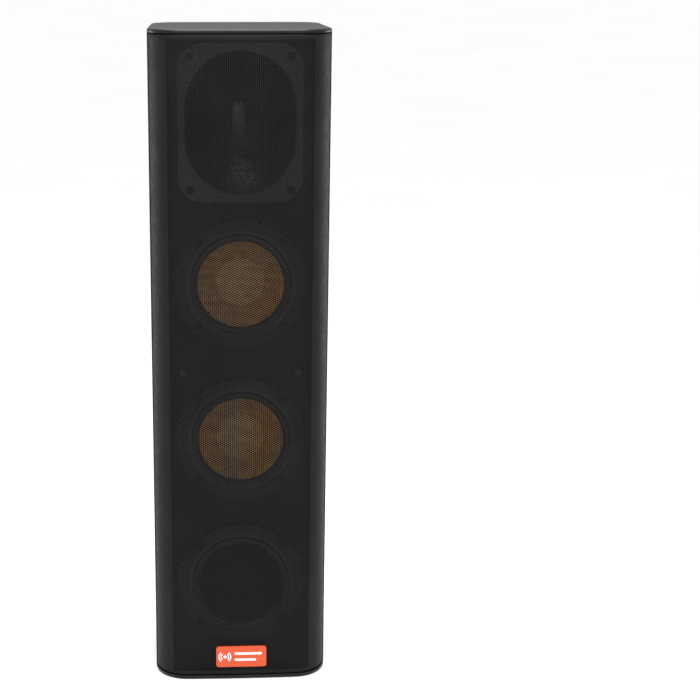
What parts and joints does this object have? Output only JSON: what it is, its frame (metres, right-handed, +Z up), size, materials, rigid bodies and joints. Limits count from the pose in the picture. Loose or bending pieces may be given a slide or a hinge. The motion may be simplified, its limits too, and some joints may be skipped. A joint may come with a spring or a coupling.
{
  "type": "loudspeaker",
  "caption": "Slim upright column loudspeaker with a wrap-round perforated grille, rounded moulded cabinet, bracket recess and push terminals at the back.",
  "frame": {"origin": "middle of the footprint, on the floor under the flat base", "axes": "+Z up; the grille faces -Y and the connections face +Y; +X is the viewer's right when looking at the grille"},
  "size_m": [0.15, 0.132, 0.562],
  "materials": {
    "shell": "satin",
    "baffle": "matte",
    "gasket": "matte",
    "grille": "satin powder coat",
    "badge": "gloss",
    "cap": "matte",
    "bright_steel": "bright plated",
    "zinc_steel": "zinc plated",
    "brass": "turned",
    "plate": "fine texture",
    "black_screw": "black oxide",
    "socket_steel": "satin",
    "white_plastic": "satin",
    "black_plastic": "satin",
    "red_plastic": "satin",
    "board": "lacquered",
    "silver_plate": "satin",
    "spider_cloth": "impregnated cloth",
    "ferrite": "sintered",
    "horn": "satin",
    "dome_metal": "satin",
    "transformer": "varnished laminations",
    "capacitor": "sleeved",
    "wire": "insulated",
    "wadding": "soft felt",
    "basket": "black",
    "surround": "matte",
    "black_cone": "coated",
    "brown_cone": "woven fibre",
    "copper": "enamelled wire"
  },
  "bodies": {
    "cabinet": {"rear_shell": "shell", "front_baffle": "baffle", "baffle_gasket": "gasket", "grille": "grille", "badge": "badge", "grille_pins": "bright_steel", "screw_caps": "cap", "shell_screws": "zinc_steel", "safety_bar": "bright_steel", "bracket_inserts": "brass", "stop_screw": "bright_steel", "control_plate": "plate", "control_plate_screws": "black_screw", "usb_shell": "socket_steel", "usb_tongue": "white_plastic", "power_jack": "black_plastic", "jack_pin": "bright_steel", "circuit_boards": "board", "terminal_block_left": "white_plastic", "terminal_block_right": "white_plastic", "lever_pins": "bright_steel", "port_rings_black": "black_plastic", "port_rings_red": "red_plastic", "contact_clips": "brass", "switch_plate": "silver_plate", "switch_body": "black_plastic", "spiders": "spider_cloth", "magnets": "ferrite", "waveguide": "horn", "tweeter_motor": "zinc_steel", "tweeter_cover": "black_plastic", "driver_screws": "black_screw", "crossover_coils": "transformer", "crossover_capacitors": "capacitor", "wire_harness": "wire", "damping_pads": "wadding", "basket_upper": "basket", "surround_upper": "surround", "motor_upper": "zinc_steel", "basket_middle": "basket", "surround_middle": "surround", "motor_middle": "zinc_steel", "basket_lower": "basket", "surround_lower": "surround", "motor_lower": "zinc_steel"},
    "moving_upper": {"cone_upper": "brown_cone", "dust_cap_upper": "brown_cone", "voice_coil_upper": "copper"},
    "moving_middle": {"cone_middle": "brown_cone", "dust_cap_middle": "brown_cone", "voice_coil_middle": "copper"},
    "moving_lower": {"cone_lower": "black_cone", "dust_cap_lower": "black_cone", "voice_coil_lower": "copper"},
    "diaphragm": {"tweeter_dome": "dome_metal"},
    "push_black_left": {"lever_black_left": "black_plastic"},
    "push_red_left": {"lever_red_left": "red_plastic"},
    "push_black_right": {"lever_black_right": "black_plastic"},
    "push_red_right": {"lever_red_right": "red_plastic"},
    "switch_knob": {"switch_slider": "black_plastic"}
  },
  "joints": [
    {"name": "cone_travel_upper", "type": "slide", "parent": "cabinet", "child": "moving_upper", "axis": [0, -1, 0], "range_m": [-0.003, 0.003], "stiffness_N_per_m": 1250},
    {"name": "cone_travel_middle", "type": "slide", "parent": "cabinet", "child": "moving_middle", "axis": [0, -1, 0], "range_m": [-0.003, 0.003], "stiffness_N_per_m": 1250},
    {"name": "cone_travel_lower", "type": "slide", "parent": "cabinet", "child": "moving_lower", "axis": [0, -1, 0], "range_m": [-0.003, 0.003], "stiffness_N_per_m": 1250},
    {"name": "diaphragm_travel", "type": "slide", "parent": "cabinet", "child": "diaphragm", "axis": [0, -1, 0], "range_m": [-0.0004, 0.0004], "stiffness_N_per_m": 4000},
    {"name": "push_tab_black_left", "type": "hinge", "parent": "cabinet", "child": "push_black_left", "pos_m": [0.026, 0.0495, 0.1945], "axis": [-1, 0, 0], "range_deg": [0, 14], "stiffness_Nm_per_rad": 0.15},
    {"name": "push_tab_red_left", "type": "hinge", "parent": "cabinet", "child": "push_red_left", "pos_m": [0.0136, 0.0495, 0.1945], "axis": [-1, 0, 0], "range_deg": [0, 14], "stiffness_Nm_per_rad": 0.15},
    {"name": "push_tab_black_right", "type": "hinge", "parent": "cabinet", "child": "push_black_right", "pos_m": [-0.0136, 0.0495, 0.1945], "axis": [-1, 0, 0], "range_deg": [0, 14], "stiffness_Nm_per_rad": 0.15},
    {"name": "push_tab_red_right", "type": "hinge", "parent": "cabinet", "child": "push_red_right", "pos_m": [-0.026, 0.0495, 0.1945], "axis": [-1, 0, 0], "range_deg": [0, 14], "stiffness_Nm_per_rad": 0.15},
    {"name": "tap_switch", "type": "slide", "parent": "cabinet", "child": "switch_knob", "axis": [0, 0, 1], "range_m": [-0.003, 0]}
  ]
}
